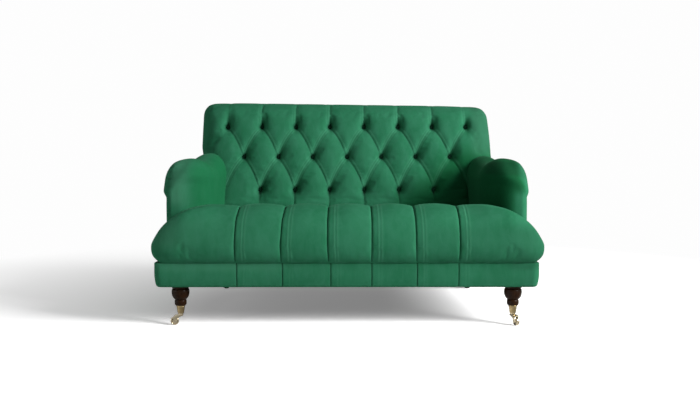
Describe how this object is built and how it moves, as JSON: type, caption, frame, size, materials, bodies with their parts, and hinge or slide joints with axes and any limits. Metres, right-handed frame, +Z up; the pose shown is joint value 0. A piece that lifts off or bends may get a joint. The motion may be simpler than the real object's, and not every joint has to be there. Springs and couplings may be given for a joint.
{
  "type": "two-seat sofa",
  "caption": "Compact low-armed sofa with a deep-buttoned back, a padded fluted seat, turned front legs on castors and raked rear legs.",
  "frame": {"origin": "on the floor, at the middle of the sofa's overall width and depth", "axes": "+X to the right as seen from the front, +Y towards the back, +Z up"},
  "size_m": [1.54, 0.974, 0.873],
  "materials": {
    "velvet": "green cotton velvet, short pile",
    "button_velvet": "the same velvet, pulled tight over button moulds",
    "cambric": "black bottoming cloth",
    "hessian": "natural jute webbing and hessian",
    "beech": "planed beech",
    "dark_wood": "dark stained hardwood, satin lacquer",
    "brass": "lightly aged polished brass",
    "nylon": "moulded black glide"
  },
  "bodies": {
    "sofa": {"arm_board_left": "beech", "arm_board_right": "beech", "arm_cushion_left": "velvet", "arm_cushion_right": "velvet", "arm_stump_left": "beech", "arm_stump_right": "beech", "back_button_01": "button_velvet", "back_button_02": "button_velvet", "back_button_03": "button_velvet", "back_button_04": "button_velvet", "back_button_05": "button_velvet", "back_button_06": "button_velvet", "back_button_07": "button_velvet", "back_button_08": "button_velvet", "back_button_09": "button_velvet", "back_button_10": "button_velvet", "back_button_11": "button_velvet", "back_button_12": "button_velvet", "back_button_13": "button_velvet", "back_button_14": "button_velvet", "back_button_15": "button_velvet", "back_button_16": "button_velvet", "back_button_17": "button_velvet", "back_button_18": "button_velvet", "back_button_19": "button_velvet", "back_button_20": "button_velvet", "back_button_21": "button_velvet", "back_cushion": "velvet", "back_post_left": "beech", "back_post_right": "beech", "back_top_rail": "beech", "back_tuck_rail": "beech", "base_border": "velvet", "castor_cup_left": "brass", "castor_cup_right": "brass", "dust_cover": "cambric", "front_leg_left": "dark_wood", "front_leg_right": "dark_wood", "front_rail": "beech", "outside_arm_panel_left": "velvet", "outside_arm_panel_right": "velvet", "outside_back_panel": "velvet", "rear_glide_left": "nylon", "rear_glide_right": "nylon", "rear_leg_left": "dark_wood", "rear_leg_right": "dark_wood", "rear_rail": "beech", "seat_cushion": "velvet", "seat_deck": "hessian", "seat_webbing_1": "hessian", "seat_webbing_2": "hessian", "seat_webbing_3": "hessian", "side_rail_left": "beech", "side_rail_right": "beech"},
    "castor_left": {"castor_horn_left": "brass", "castor_axle_left": "brass"},
    "castor_left_wheel": {"castor_wheel_left": "brass"},
    "castor_right": {"castor_horn_right": "brass", "castor_axle_right": "brass"},
    "castor_right_wheel": {"castor_wheel_right": "brass"}
  },
  "joints": [
    {"name": "castor_left_swivel", "type": "hinge", "parent": "sofa", "child": "castor_left", "pos_m": [-0.65, -0.394, 0.0385], "axis": [0, 0, 1], "continuous": true},
    {"name": "castor_left_roll", "type": "hinge", "parent": "castor_left", "child": "castor_left_wheel", "pos_m": [-0.67318, -0.40021, 0.0165], "axis": [0.2588, -0.9659, 0], "continuous": true},
    {"name": "castor_right_swivel", "type": "hinge", "parent": "sofa", "child": "castor_right", "pos_m": [0.65, -0.394, 0.0385], "axis": [0, 0, 1], "continuous": true},
    {"name": "castor_right_roll", "type": "hinge", "parent": "castor_right", "child": "castor_right_wheel", "pos_m": [0.66014, -0.41575, 0.0165], "axis": [0.9063, 0.4226, 0], "continuous": true}
  ]
}
